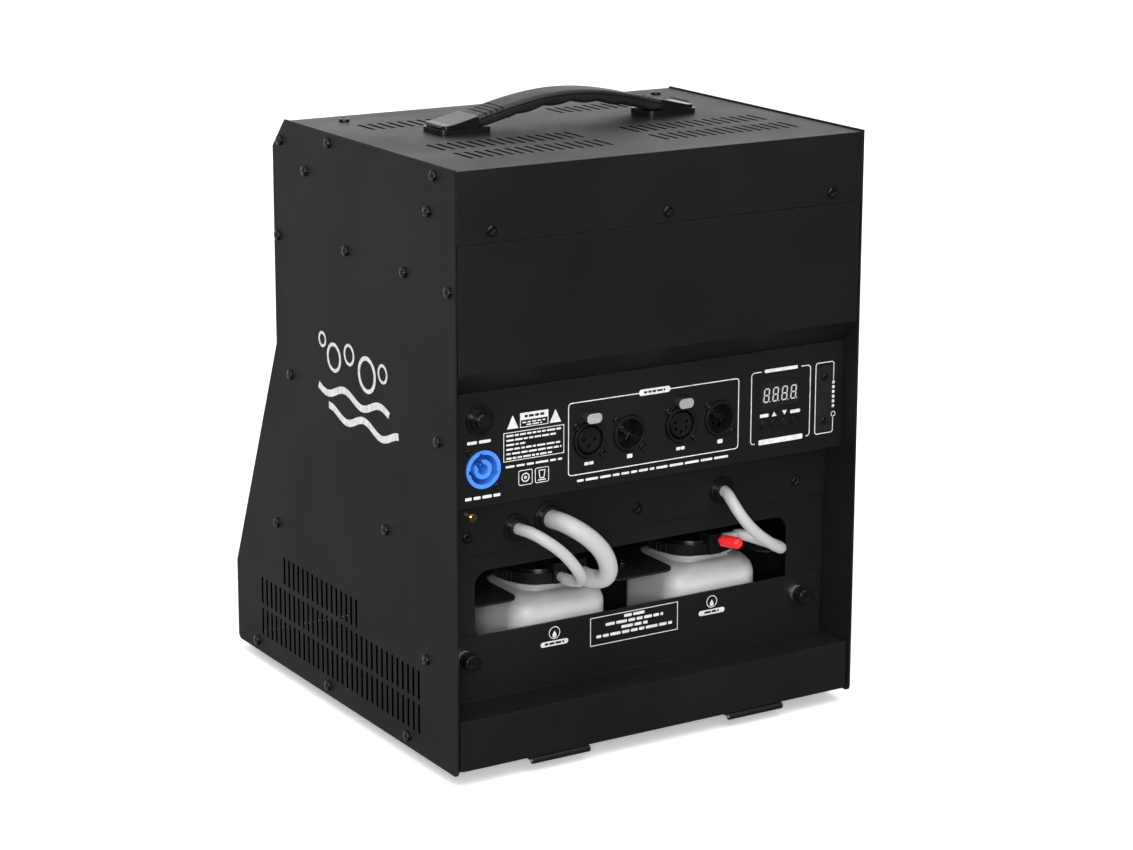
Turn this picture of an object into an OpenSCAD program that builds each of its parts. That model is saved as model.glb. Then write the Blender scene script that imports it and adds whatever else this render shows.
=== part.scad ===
// Combined fog and bubble machine in a folded sheet steel case.
// The stated places are "case coordinates": x from the left side as seen from behind,
// y from the rear face towards the front, z from the underside of the case.

/* [Case] */
// Width of the case
body_w = 300; // [296:1:304]
// Height of the case without feet and handle
body_h = 378; // [376:1:380]
// Depth of the case at the base
base_d = 311; // [306:1:314]
// Depth of the flat top
top_d = 223.5; // [222:0.5:226]
// Thickness of the steel sheet
sheet_t = 1.2; // [1:0.1:1.4]
// Height of the rubber feet
foot_h = 8; // [6:1:12]

/* [Vents] */
// Width of every vent slot
slot_w = 2.7; // [2:0.1:3]
// Length of a vent slot in the sides
side_slot_l = 19.5; // [16:0.5:20]
// Length of a vent slot in the top
top_slot_l = 23; // [18:0.5:24]

/* [Fluid bay] */
// Width of one square fluid bottle
bottle_w = 70; // [66:1:72]
// Depth of one square fluid bottle
bottle_d = 66; // [62:1:68]
// Height of a bottle up to its neck
bottle_h = 91; // [86:1:91]
// Outer radius of the bottle caps
cap_r = 29.5; // [29:0.5:30]

/* [Handle] */
// Overall length of the carrying handle
handle_l = 194; // [190:1:198]
// Width of the handle grip
handle_w = 26; // [24:1:28]

/* [Bubble wheel] */
// Outer radius of the bubble wheel
wheel_r = 55; // [50:1:56]
// Number of rings on the bubble wheel
wheel_rings = 10; // [8:1:10]

/* [Hidden] */

$fn = 48;
eps = 0.01;

// Colours
case_black = [0.10, 0.10, 0.11];
plastic_black = [0.06, 0.06, 0.07];
rubber_black = [0.04, 0.04, 0.04];
steel = [0.62, 0.63, 0.65];
milk = [0.90, 0.90, 0.88];

// Case outline, seen from the left side
top_z = body_h - 1;
front_y = 241.5;
chamfer_z = body_h - 19.5;
slope_top_z = 225.5;
slope_low_z = 57;
corner_r = 4;
inner_x = sheet_t + 0.2;
inner_w = body_w - 2 * inner_x;
flange = 12;

// Rear steps: outer face of each panel
band_z = 332.5;
soffit_z = 253.6;
control_y = 14.7;
control_top_z = 238;
control_low_z = 166.3;
hose_panel_y = 32;
hose_panel_low_z = 130;
frame_y = hose_panel_y + sheet_t + 0.1;
frame_low_z = 56;
window_left = 31.6;
window_right = 269.4;
window_top_z = 118.2;
window_r = 10;

// Door
door_face_y = 31.8;
door_top_z = 76.6;
door_shelf_z = 34.7;
door_low_z = 2.6;
door_x = 3;
door_low_y = 1.4;
hinge_y = 2.6;
hinge_z = -0.2;
hinge_r = 2.2;
pin_r = 1;
pin_gap = 0.06;
leaf_t = 0.8;
hinge_l = 42;
knuckle_l = 14;
hinge_xs = [54.5, 203.5];
thumb_z = 63.6;
thumb_xs = [23.4, 277.6];

// Seams, screws and vents
seam_y = 210.5;
screw_head_r = 3.4;
screw_head_h = 2;
screw_shank_r = 1.45;
hole_r = 1.6;
side_screws = [
    [230.5, 363.4], [161.8, 371], [195, 348.3], [24.9, 371], [33, 348.2], [236, 299.6],
    [139.3, 305.8], [62.9, 305.8], [8, 303.4], [221, 208.5], [21.9, 208.5], [245.8, 100.4],
    [90.1, 135.7], [38.4, 65.2], [280.7, 6.8], [173.3, 6.8], [64.1, 6.8],
];
side_slot_pitch = 6.95;
top_slot_pitch = 7.1;
band_screw_xs = [25, 150, 275];
hose_screw_xs = [25.5, 150.3, 274.7];
band_screw_z = 339.6;
hose_screw_z = 141.6;
cover_screw_xs = [33, 274];
cover_screw_y = 203;

// Control panel
breaker_at = [24.5, 221];
inlet_at = [27.2, 189.4];
inlet_r = 12;
xlr3_socket_at = [103.3, 197.5];
xlr3_plug_at = [132.9, 197.5];
xlr5_socket_at = [171.6, 198];
xlr5_plug_at = [201.6, 198];
xlr_r = 11.4;
panel_hole_r = 12.1;
xlr_screw = [9.8, 9.8];
inlet_screw = [9.7, 12];
display_at = [248.8, 208.3];
display_size = [30, 17];
key_xs = [235.6, 243.8, 251.9, 260.2];
key_z = 189;
key_r = 2.9;
module_at = [284, 200];
module_size = [12.5, 44];
module_screw_dz = 14.6;

// Fluid bay
bottle_xs = [99.5, 217];
bottle_y = 36.6 + bottle_d / 2;
bottle_r = 14;
cap_z = 98.3;
cap_h = 7.2;
neck_r = 26;
plate_z = 94;
notch_r = 34;
retainer_back_y = 112;

// Hoses: outer radius and route of each, centre line points
thin_r = 3.75;
thick_r = 6;
thin_route = [
    [60.5, 33, 143], [60.5, 28.5, 143], [61.5, 23.5, 143], [63.5, 19, 142.3],
    [66.5, 15, 140.5], [70.3, 12.2, 137.7], [74.4, 10.2, 134.5], [78.4, 9, 131],
    [82.2, 8.5, 127.3], [85.8, 8.5, 123.4], [89.2, 9, 119.4], [92.4, 10, 115.4],
    [95.4, 11.8, 111.5], [97.8, 14.6, 108], [99.2, 18.5, 105.3], [99, 23, 103.9],
    [98, 27, 103.4], [97.2, 30.4, 103.2], [97.2, 33, 103.2],
];
thick_route = [
    [85, 33, 145.5], [85, 28.5, 145.5], [86, 23.5, 145.4], [88, 18.8, 144.6],
    [91, 15.2, 142.8], [94.8, 12.6, 140.2], [98.8, 10.7, 137], [102.8, 9.5, 133.4],
    [106.5, 9, 129.4], [109.8, 9, 125.2], [112.6, 9.4, 120.6], [114.8, 10.4, 115.8],
    [116.2, 12.2, 111], [116.4, 15.2, 106.6], [115.4, 19.4, 103.8], [113.6, 23.6, 102.7],
    [111.6, 27.4, 102.8], [110.5, 30.4, 103.2], [110.5, 33, 103.2],
];
fog_route = [
    [215.5, 33, 144], [215.5, 28.5, 144], [214.9, 23.5, 143], [214.6, 18.8, 140.2],
    [215.8, 14.8, 135.6], [218.4, 12.2, 130.4], [222, 10.8, 125.4], [226.2, 10, 120.8],
    [230.8, 9.8, 116.6], [235.8, 10, 112.8], [240.8, 10.6, 109.4], [245.8, 11.8, 106.4],
    [250.4, 14, 103.9], [253.4, 17.8, 102.8], [253.6, 22.6, 102.9], [251.2, 27.4, 103.8],
    [247.4, 31.8, 105.2], [243, 35.6, 106.8], [239.2, 38.4, 108], [236, 40, 108.6], [233.2, 40, 108.6],
];
thin_grommet = [60.5, 143];
thick_grommet = [85, 145.5];
fog_grommet = [215.5, 144];

// Bubble and fog works
wheel_at = [150, 205, 292];
fan_at = [150, 78, 257];
fan_size = 92;
ring_r = 128 / wheel_rings;
nozzle_z = 150;
pipe_y = 214;
pipe_r = 2;
fog_pipe_x = 48;
bubble_pipe_x = 236;

// Helpers ---------------------------------------------------------------

// Moves a piece drawn in case coordinates to its place in the part's frame
module in_case() translate([-body_w / 2, -(base_d - screw_head_h) / 2, foot_h]) children();

// Plate across X from x0 to x1, with its outline given as (y, z) points
module plate_yz(x0, x1) translate([x0, 0, 0]) rotate([90, 0, 90]) linear_extrude(x1 - x0) children();

// Plate facing the rear, from y0 to y1, with its outline given as (x, z) points
module plate_xz(y0, y1) translate([0, y1, 0]) rotate([90, 0, 0]) linear_extrude(y1 - y0) children();

module block(low, high) translate(low) cube(high - low);

// Cylinder along Y between y0 and y1, at (x, z)
module rod_y(at, y0, y1, r) translate([at[0], y1, at[1]]) rotate([90, 0, 0]) cylinder(h = y1 - y0, r = r);

module rod_x(at, x0, x1, r) translate([x0, at[0], at[1]]) rotate([0, 90, 0]) cylinder(h = x1 - x0, r = r);

// Upright slot with round ends, in 2D, centred
module slot_2d(w, l) {
    square([w, l - w], center = true);
    for (s = [-1, 1]) translate([0, s * (l - w) / 2]) circle(d = w, $fn = 16);
}

// Rectangle with round corners, in 2D, from low to high
module rounded_2d(low, high, r) {
    translate([low[0] + r, low[1]]) square([high[0] - low[0] - 2 * r, high[1] - low[1]]);
    translate([low[0], low[1] + r]) square([high[0] - low[0], high[1] - low[1] - 2 * r]);
    for (x = [low[0] + r, high[0] - r], y = [low[1] + r, high[1] - r]) translate([x, y]) circle(r = r);
}

// Swept tube with one ring of n sides at each point of a route
function unit(v) = v / norm(v);
function heading(p, i) = unit(p[min(i + 1, len(p) - 1)] - p[max(i - 1, 0)]);
function side_dir(t) = unit(cross(t, [0.2, 0.4, 1]));
function ring(c, t, r, n) = [
    for (k = [0:n - 1])
        let (a = 360 * k / n, s = side_dir(t), u = cross(s, t))
        c + r * (cos(a) * s + sin(a) * u)
];
module tube_along(route, r, n = 12) {
    last = len(route) - 1;
    points = [for (i = [0:last]) each ring(route[i], heading(route, i), r, n)];
    walls = [
        for (i = [0:last - 1], k = [0:n - 1])
            [i * n + k, i * n + (k + 1) % n, (i + 1) * n + (k + 1) % n, (i + 1) * n + k]
    ];
    ends = [[for (k = [n - 1:-1:0]) k], [for (k = [0:n - 1]) last * n + k]];
    polyhedron(points, concat(walls, ends), convexity = 6);
}

// Case shell ------------------------------------------------------------

case_outline = [
    for (a = [180:18:270]) [corner_r + corner_r * cos(a), corner_r + corner_r * sin(a)],
    for (a = [270:18:360]) [base_d - corner_r + corner_r * cos(a), corner_r + corner_r * sin(a)],
    [base_d, slope_low_z],
    [front_y, slope_top_z],
    [front_y, chamfer_z],
    [top_d, body_h],
    [0, body_h],
];

// The slots of one side: two long rows and a short one above them
module side_slots_2d() {
    rows = [[23.2, 0, 32], [45.6, 0, 32], [68.4, 5, 20]];
    for (row = rows, i = [row[1]:row[2]])
        translate([271 - i * side_slot_pitch, row[0]]) slot_2d(slot_w, side_slot_l);
}

module side_panel_2d() {
    difference() {
        polygon(case_outline);
        side_slots_2d();
        for (p = side_screws) translate(p) circle(r = hole_r, $fn = 24);
    }
}

module left_side_panel() color(case_black) in_case() plate_yz(0, sheet_t) side_panel_2d();

module right_side_panel() color(case_black) in_case() plate_yz(body_w - sheet_t, body_w) side_panel_2d();

// Upright flange beside each side panel, from y0 to y1 and z0 to z1, drilled for the side screws
module side_flanges(y0, y1, z0, z1) {
    for (x = [inner_x, body_w - inner_x - sheet_t])
        difference() {
            block([x, y0, z0], [x + sheet_t, y1, z1]);
            for (p = side_screws) rod_x(p, x - 1, x + sheet_t + 1, hole_r);
        }
}

module base_plate() color(case_black) in_case() {
    block([inner_x, 7.5, 0.3], [body_w - inner_x, 309, 0.3 + sheet_t]);
    side_flanges(36, 306, 0.3 + sheet_t, 13);
}

// One row of top slots in each half, starting at y
module top_slots(y) {
    for (x0 = [33.4, 174.2], i = [0:14])
        translate([x0 + i * top_slot_pitch, y + top_slot_l / 2, top_z - sheet_t - 1])
            linear_extrude(sheet_t + 2) slot_2d(slot_w, top_slot_l);
}

module top_cover() color(case_black) in_case() {
    difference() {
        union() {
            block([inner_x, 0, top_z - sheet_t], [body_w - inner_x, seam_y, top_z]);
            block([inner_x, 0, band_z], [body_w - inner_x, sheet_t, top_z - sheet_t]);
        }
        for (y = [36, 70.5, 161.5]) top_slots(y);
        for (x = band_screw_xs) rod_y([x, band_screw_z], -1, 2, hole_r);
        for (x = cover_screw_xs) translate([x, cover_screw_y, top_z - 3]) cylinder(h = 4, r = hole_r);
    }
    side_flanges(18, 168, top_z - sheet_t - flange, top_z - sheet_t);
}

outlet_low = [45, 236];
outlet_high = [255, 350];

module front_upper_panel() color(case_black) in_case() {
    t = sheet_t;
    difference() {
        plate_yz(inner_x, body_w - inner_x) polygon([
            [seam_y + 0.4, top_z], [top_d, top_z], [front_y - 0.5, chamfer_z - 0.5],
            [front_y - 0.5, slope_top_z + 0.2], [front_y - 0.5 - t, slope_top_z + 0.2],
            [front_y - 0.5 - t, chamfer_z - 1], [top_d - 0.5, top_z - t],
            [seam_y + 0.4, top_z - t],
        ]);
        plate_xz(front_y - 4, front_y + 4) rounded_2d(outlet_low, outlet_high, 12);
    }
    // Flange under the front edge of the top cover
    difference() {
        union() {
            block(
                [inner_x, cover_screw_y - 8, top_z - 2 * t],
                [body_w - inner_x, seam_y + 4, top_z - t - 0.02]
            );
            block([inner_x, seam_y + 0.4, top_z - 2 * t], [body_w - inner_x, seam_y + 4, top_z - t + eps]);
        }
        for (x = cover_screw_xs) translate([x, cover_screw_y, top_z - 5]) cylinder(h = 5, r = hole_r);
    }
    side_flanges(front_y - 14, front_y - 0.5 - t + eps, slope_top_z + 12, chamfer_z - 6);
}

slope_angle = atan2(base_d - front_y, slope_top_z - slope_low_z);
function slope_y(z) = front_y + (slope_top_z - z) * tan(slope_angle);

module front_lower_panel() color(case_black) in_case() {
    t = sheet_t;
    difference() {
        plate_yz(inner_x, body_w - inner_x) polygon([
            [front_y - 0.5, slope_top_z], [base_d - 0.5, slope_low_z],
            [base_d - 0.5, 2], [base_d - 0.5 - t, 2], [base_d - 0.5 - t, slope_low_z - 0.2],
            [front_y - 0.5 - 1.1 * t, slope_top_z - 0.3], [front_y - 16, slope_top_z - 0.3],
            [front_y - 16, slope_top_z],
        ]);
        translate([150, slope_y(nozzle_z), nozzle_z]) rotate([slope_angle - 90, 0, 0])
            cylinder(h = 12, r = 21, center = true);
    }
    side_flanges(base_d - 16, base_d - 0.5 - t + eps, 14, slope_low_z - 2);
}

module rear_upper_panel() color(case_black) in_case() {
    t = sheet_t;
    difference() {
        plate_yz(inner_x + 0.8, body_w - inner_x - 0.8) polygon([
            [0, soffit_z], [control_y + 0.6, control_top_z + 0.2], [control_y + 2.2, control_top_z + 0.2],
            [t, soffit_z + 0.7], [t, band_z - 2], [2 * t + 0.1, band_z - 2],
            [2 * t + 0.1, band_z + 14], [t + 0.1, band_z + 14], [t + 0.1, band_z - 0.5],
            [0, band_z - 0.5],
        ]);
        for (x = band_screw_xs) rod_y([x, band_screw_z], -1, 4, hole_r);
    }
    side_flanges(t, 14, 296, 312);
}

module control_panel() color(case_black) in_case() {
    t = sheet_t;
    y0 = control_y;
    difference() {
        block([inner_x, y0, control_low_z], [body_w - inner_x, y0 + t, control_top_z]);
        rod_y(breaker_at, y0 - 1, y0 + 3, 8.1);
        for (at = [inlet_at, xlr3_socket_at, xlr3_plug_at, xlr5_socket_at, xlr5_plug_at])
            rod_y(at, y0 - 1, y0 + 3, at == inlet_at ? inlet_r + 0.15 : panel_hole_r);
        for (at = [xlr3_socket_at, xlr5_socket_at])
            plate_xz(y0 - 1, y0 + 3)
                rounded_2d(at + latch_low - [0.3, 0.3], at + latch_high + [0.3, 0.3], 3.2);
        for (p = small_screws) rod_y(p, y0 - 1, y0 + 3, 1.3);
        plate_xz(y0 - 1, y0 + 3) translate(display_at) square(display_size + [0.4, 0.4], center = true);
        for (x = key_xs) rod_y([x, key_z], y0 - 1, y0 + 3, key_r + 0.3);
        plate_xz(y0 - 1, y0 + 3) translate(module_at) square(module_size + [0.4, 0.4], center = true);
    }
    // Return at the foot of the panel, back to the hose panel
    block([inner_x, y0 + t - eps, control_low_z], [body_w - inner_x, hose_panel_y + 1.1, control_low_z + t]);
    side_flanges(y0 + t, y0 + 13, control_low_z + 30, control_top_z - 12);
}

module hose_panel() color(case_black) in_case() {
    y0 = hose_panel_y;
    low = hose_panel_low_z;
    difference() {
        block([inner_x, y0, low], [body_w - inner_x, y0 + sheet_t, control_low_z - 0.1]);
        rod_y(thin_grommet, y0 - 1, y0 + 3, 8.2);
        rod_y(thick_grommet, y0 - 1, y0 + 3, 10.2);
        rod_y(fog_grommet, y0 - 1, y0 + 3, 8.2);
        // Relieved stretches of the lower edge below the grommets
        block([52, y0 - 1, low - 1], [93.5, y0 + 3, low + 1.5]);
        block([205, y0 - 1, low - 1], [226, y0 + 3, low + 1.5]);
        for (x = hose_screw_xs) rod_y([x, hose_screw_z], y0 - 1, y0 + 3, hole_r);
        rod_y([28.1, 154.9], y0 - 1, y0 + 3, 2.6);
    }
}

module bay_frame() color(case_black) in_case() {
    y0 = frame_y;
    difference() {
        plate_xz(y0, y0 + sheet_t) difference() {
            translate([inner_x, frame_low_z]) square([inner_w, 150 - frame_low_z]);
            rounded_2d([window_left, frame_low_z - 30], [window_right, window_top_z], window_r);
            for (g = [[thin_grommet, 9], [thick_grommet, 11], [fog_grommet, 9]])
                translate(g[0]) circle(r = g[1]);
        }
        for (x = hose_screw_xs) rod_y([x, hose_screw_z], y0 - 1, y0 + 3, hole_r);
        // Slots that the door's thumbscrews swing out of
        for (x = thumb_xs)
            plate_xz(y0 - 1, y0 + 3) translate([x, thumb_z + 2]) slot_2d(5.6, 11);
    }
    side_flanges(y0 + sheet_t, y0 + 12, frame_low_z, 150);
}

module bottle_retainer() color(case_black) in_case() {
    t = sheet_t;
    front = frame_y + sheet_t + 0.4;
    low_x = inner_x + sheet_t + 0.2;
    difference() {
        translate([0, 0, plate_z]) linear_extrude(t) difference() {
            translate([low_x, front]) square([body_w - 2 * low_x, retainer_back_y - front]);
            for (x = bottle_xs) notch_2d(x, front);
        }
        translate([158.3, 62, plate_z - 1]) cylinder(h = 4, r = hole_r);
    }
    block([low_x, retainer_back_y - t, 1.6], [body_w - low_x, retainer_back_y, plate_z + eps]);
    // Side walls of the bay, drilled clear of the case screws
    difference() {
        for (x = [low_x, body_w - low_x - t])
            block([x, front, 1.6], [x + t, retainer_back_y - t + eps, plate_z + eps]);
        for (p = side_screws) rod_x(p, -1, body_w + 1, hole_r);
    }
}

// Neck notch that opens to the rear, with rounded lips
module notch_2d(x, front) {
    lip = 9;
    translate([x, bottle_y]) circle(r = notch_r);
    translate([x - notch_r, front - 1]) square([2 * notch_r, bottle_y - front + 1]);
    difference() {
        translate([x - notch_r - lip, front - 1]) square([2 * (notch_r + lip), lip + 1]);
        for (s = [-1, 1]) translate([x + s * (notch_r + lip), front + lip]) circle(r = lip);
    }
}

module electronics_tray() color(case_black) in_case() {
    z = 302;
    block([inner_x, 20, z - sheet_t], [body_w - inner_x, 150, z]);
    side_flanges(22, 148, z - eps, z + 10);
}

module mid_shelf() color(case_black) in_case() {
    z = 204;
    difference() {
        block([inner_x, 60, z - sheet_t], [body_w - inner_x, 236, z]);
        translate([bubble_pipe_x, pipe_y, z - 3]) cylinder(h = 6, r = 5);
        translate([75, 130, z - 3]) cylinder(h = 6, r = 12);
    }
    side_flanges(62, 234, z - eps, z + 10);
}

module rubber_feet() color(rubber_black) {
    for (x = [45, body_w - 45], y = [60, base_d - 36])
        in_case() translate([x, y, -foot_h])
            difference() {
                rotate_extrude()
                    polygon([[0, 0], [8.5, 0], [10, 1.5], [11, foot_h + 0.2], [0, foot_h + 0.2]]);
                translate([0, 0, -1]) cylinder(h = 4, r = 3);
            }
}

// Fasteners -------------------------------------------------------------

// Pan head screw with a cross recess; its shank points along -Z
module pan_screw(head_r, head_h, shank_r, shank_l) {
    difference() {
        union() {
            intersection() {
                cylinder(h = head_h, r = head_r);
                translate([0, 0, head_h - 3 * head_r]) sphere(r = 3 * head_r, $fn = 96);
            }
            translate([0, 0, -shank_l]) cylinder(h = shank_l + eps, r = shank_r);
        }
        for (a = [0, 90]) rotate([0, 0, a])
            translate([-0.55 * head_r, -0.14 * head_r, head_h - 1.1]) cube([1.1 * head_r, 0.28 * head_r, 2]);
    }
}

module case_screw() pan_screw(screw_head_r, screw_head_h, screw_shank_r, 5);

module case_screws() color(plastic_black) in_case() {
    for (p = side_screws) {
        translate([-0.02, p[0], p[1]]) rotate([0, -90, 0]) rotate([0, 0, 31 * p[0]]) case_screw();
        translate([body_w + 0.02, p[0], p[1]]) rotate([0, 90, 0]) rotate([0, 0, 17 * p[0]]) case_screw();
    }
    for (x = band_screw_xs) translate([x, -0.02, band_screw_z]) rotate([90, 13 * x, 0]) case_screw();
    for (x = hose_screw_xs)
        translate([x, hose_panel_y - 0.02, hose_screw_z]) rotate([90, 7 * x, 0]) case_screw();
    for (x = cover_screw_xs) translate([x, cover_screw_y, top_z + 0.02]) rotate([0, 0, x]) case_screw();
    translate([158.3, 62, plate_z + sheet_t + 0.02]) rotate([0, 0, 20]) case_screw();
}

// Places of the small screws that hold the connectors and the radio module
small_screws = [
    for (at = [xlr3_socket_at, xlr3_plug_at, xlr5_socket_at, xlr5_plug_at], s = [-1, 1])
        at + s * [xlr_screw[0], -xlr_screw[1]],
    for (s = [-1, 1]) inlet_at + s * [inlet_screw[0], -inlet_screw[1]],
];

module connector_screws() color(plastic_black) in_case() {
    for (p = small_screws)
        translate([p[0], control_y - 0.02, p[1]]) rotate([90, 11 * p[0], 0]) pan_screw(2.35, 1.7, 1.2, 6);
    for (s = [-1, 1])
        translate([module_at[0], control_y - 0.02, module_at[1] + s * module_screw_dz])
            rotate([90, 25 * s, 0]) pan_screw(2.4, 1.4, 1, 2.2);
}

// Carrying handle -------------------------------------------------------

handle_x = 154.7;
handle_y = 132;
shoe_l = 37.5;
grip_x = 27.5;
arch_h = 21.8;

// Height of the underside of the grip above the top cover, at x from the handle's middle
function arch_z(x) = 3.7 + (arch_h - 11.7) * cos(90 * min(1, abs(x) / 62));
function finger_z(x) = abs(x) < 42 ? 1.6 * abs(sin(180 * (x + 42) / 21)) - 0.8 : 0;
function grip_top_z(x) = 4.5 + (arch_h - 4.5) * pow(cos(90 * min(1, abs(x) / (handle_l / 2))), 1.3);

module handle_grip() color(plastic_black) in_case()
    translate([handle_x, handle_y, top_z]) {
        reach = handle_l / 2 - grip_x;
        step = reach / 22;
        translate([0, handle_w / 2, 0]) rotate([90, 0, 0]) linear_extrude(handle_w)
            polygon([
                for (i = [-22:22]) [i * step, arch_z(i * step) - finger_z(i * step)],
                for (i = [22:-1:-22]) [i * step, grip_top_z(i * step)],
            ]);
    }

// End caps that slope down over the ends of the grip, with rounded noses
module handle_caps() color(plastic_black) in_case()
    for (s = [-1, 1])
        translate([handle_x, handle_y, top_z]) mirror([s < 0 ? 1 : 0, 0, 0]) {
            x0 = handle_l / 2 - grip_x + 0.4;
            x1 = handle_l / 2 - 1.5;
            intersection() {
                translate([0, handle_w / 2, 0]) rotate([90, 0, 0]) linear_extrude(handle_w)
                    polygon([
                        [x0, 3.5], [x1 - 0.6, 3.5], [x1, 4.2], [x1 - 1, 5.6],
                        for (k = [3:-1:0]) [x0 + 6.4 * k, grip_top_z(x0 + 6.4 * k) + 0.4],
                    ]);
                linear_extrude(30) rounded_2d([x0 - 20, -handle_w / 2], [x1, handle_w / 2], 5);
            }
        }

module handle_shoes() color(plastic_black) in_case()
    for (s = [-1, 1])
        translate([handle_x + s * (handle_l / 2 - shoe_l / 2), handle_y, top_z + 0.02])
            difference() {
                linear_extrude(3.2) rounded_2d([-shoe_l / 2, -handle_w / 2], [shoe_l / 2, handle_w / 2], 4);
                translate([0, 0, -1]) cylinder(h = 6, r = 2.5);
            }

// Fluid door ------------------------------------------------------------

module fluid_door() color(case_black) in_case() {
    t = sheet_t;
    lip = 2.5;
    difference() {
        plate_yz(door_x, body_w - door_x) polygon([
            [door_low_y, door_low_z], [door_low_y, door_shelf_z], [door_face_y, door_shelf_z],
            [door_face_y, door_top_z], [door_face_y + t, door_top_z], [door_face_y + t, door_shelf_z - t],
            [door_low_y + t, door_shelf_z - t], [door_low_y + t, door_low_z],
        ]);
        for (x = thumb_xs) rod_y([x, thumb_z], door_face_y - 1, door_face_y + 3, 4.2);
        // Rounded lower corners
        for (x = [door_x, body_w - door_x])
            plate_xz(door_low_y - 1, door_low_y + 4) translate([x, door_low_z]) difference() {
                square(2 * lip, center = true);
                translate([x < 100 ? lip : -lip, lip]) circle(r = lip);
            }
    }
}

// Knuckles of a hinge: the fixed leaf has the outer two, the door's leaf the middle one
module knuckle(x0, x1) {
    difference() {
        rod_x([hinge_y, hinge_z], x0, x1, hinge_r);
        rod_x([hinge_y, hinge_z], x0 - 1, x1 + 1, pin_r + pin_gap);
    }
}

module door_hinge_leaves() color(case_black) in_case()
    for (x = hinge_xs) {
        difference() {
            block(
                [x + 0.5, door_low_y + sheet_t + eps, hinge_z + 1],
                [x + hinge_l - 0.5, door_low_y + sheet_t + leaf_t, 15]
            );
            block([x - 1, 0, -3], [x + knuckle_l + 0.4, 8, door_low_z + 1]);
            block([x + hinge_l - knuckle_l - 0.4, 0, -3], [x + hinge_l + 1, 8, door_low_z + 1]);
            rod_x([hinge_y, hinge_z], x - 1, x + hinge_l + 1, pin_r + pin_gap);
        }
        knuckle(x + knuckle_l + 0.4, x + hinge_l - knuckle_l - 0.4);
    }

module base_hinge_leaves() color(case_black) in_case()
    for (x = hinge_xs) {
        difference() {
            block([x, hinge_y, -0.6], [x + hinge_l, 24, 0.2]);
            block([x + knuckle_l, -2, -4], [x + hinge_l - knuckle_l, 5.6, 4]);
            rod_x([hinge_y, hinge_z], x - 1, x + hinge_l + 1, pin_r + pin_gap);
        }
        knuckle(x, x + knuckle_l);
        knuckle(x + hinge_l - knuckle_l, x + hinge_l);
    }

module hinge_pins() color(steel) in_case()
    for (x = hinge_xs) rod_x([hinge_y, hinge_z], x - 0.4, x + hinge_l + 0.4, pin_r);

module thumbscrew_collars() color(steel) in_case()
    for (x = thumb_xs)
        difference() {
            union() {
                rod_y([x, thumb_z], door_face_y - 2.6, door_face_y, 5.2);
                rod_y([x, thumb_z], door_face_y - 0.5, door_face_y + sheet_t, 4.15);
            }
            rod_y([x, thumb_z], door_face_y - 4, door_face_y + 4, 2.08);
        }

module thumbscrew(x) color(plastic_black) in_case() {
    y1 = door_face_y - 2.7;
    difference() {
        union() {
            rod_y([x, thumb_z], y1 - 8.4, y1, 5.4);
            rod_y([x, thumb_z], y1 - 9, y1 - 8.4 + eps, 4.8);
            rod_y([x, thumb_z], y1 - eps, door_face_y + sheet_t + 4, 2);
        }
        // Grip grooves round the head, and a cross recess
        for (a = [0:20:340])
            rod_y([x + 5.6 * cos(a), thumb_z + 5.6 * sin(a)], y1 - 10, y1 - 1.2, 0.55);
        for (a = [45, 135])
            translate([x, y1 - 9, thumb_z]) rotate([0, a, 0]) cube([5.4, 2.6, 1.1], center = true);
    }
}

module left_thumbscrew() thumbscrew(thumb_xs[0]);

module right_thumbscrew() thumbscrew(thumb_xs[1]);

// Bottles, caps and hoses -----------------------------------------------

module fluid_bottles() color(milk) in_case()
    for (x = bottle_xs)
        translate([x, bottle_y, 1.7]) {
            shoulder_z = bottle_h - 8;
            low = [-bottle_w / 2, -bottle_d / 2];
            linear_extrude(shoulder_z) rounded_2d(low, -low, bottle_r);
            hull() {
                translate([0, 0, shoulder_z - 0.5]) linear_extrude(0.5) rounded_2d(low, -low, bottle_r);
                translate([0, 0, bottle_h - 3]) linear_extrude(1)
                    rounded_2d(low + [3, 3], -low - [3, 3], bottle_r - 3);
                translate([0, 0, bottle_h - 0.6]) cylinder(h = 0.6, r = neck_r + 2.5);
            }
            translate([0, 0, bottle_h - 2]) cylinder(h = cap_z - bottle_h + 3, r = neck_r);
        }

// Block on the rim of a cap that the hose tails come out of
tail_y = 38;
module rim_block(x0, x1) block([x0, tail_y, cap_z + 0.6], [x1, tail_y + 12, cap_z + 14]);

module bottle_caps() color(plastic_black) in_case()
    difference() {
        union() {
            for (x = bottle_xs) {
                translate([x, bottle_y, cap_z]) cylinder(h = cap_h, r = cap_r);
                translate([x, bottle_y, cap_z + cap_h - eps]) cylinder(h = 1.2, r = cap_r - 5);
            }
            rim_block(92.4, 101.8);
            rim_block(104.4, 116.4);
            rim_block(211, 220.5);
        }
        for (x = bottle_xs) {
            translate([x, bottle_y, cap_z - 1]) cylinder(h = 4, r = neck_r + 0.2);
            // Grip grooves round the rim
            for (a = [4:8:356])
                if (a < 205 || a > 335)
                    translate([x, bottle_y, cap_z - 1]) rotate([0, 0, a])
                        translate([cap_r + 0.2, 0, 0]) cylinder(h = cap_h - 0.4, r = 0.7, $fn = 8);
        }
    }

module hose_connectors() color(milk) in_case() {
    rod_y([97.2, 103.2], 33.05, tail_y - 0.05, 3.1);
    rod_y([110.5, 103.2], 33.05, tail_y - 0.05, 4.6);
    // Tail that leads sideways to the fog hose
    rod_x([40, 108.6], 220.55, 233.15, 2.8);
}

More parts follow.
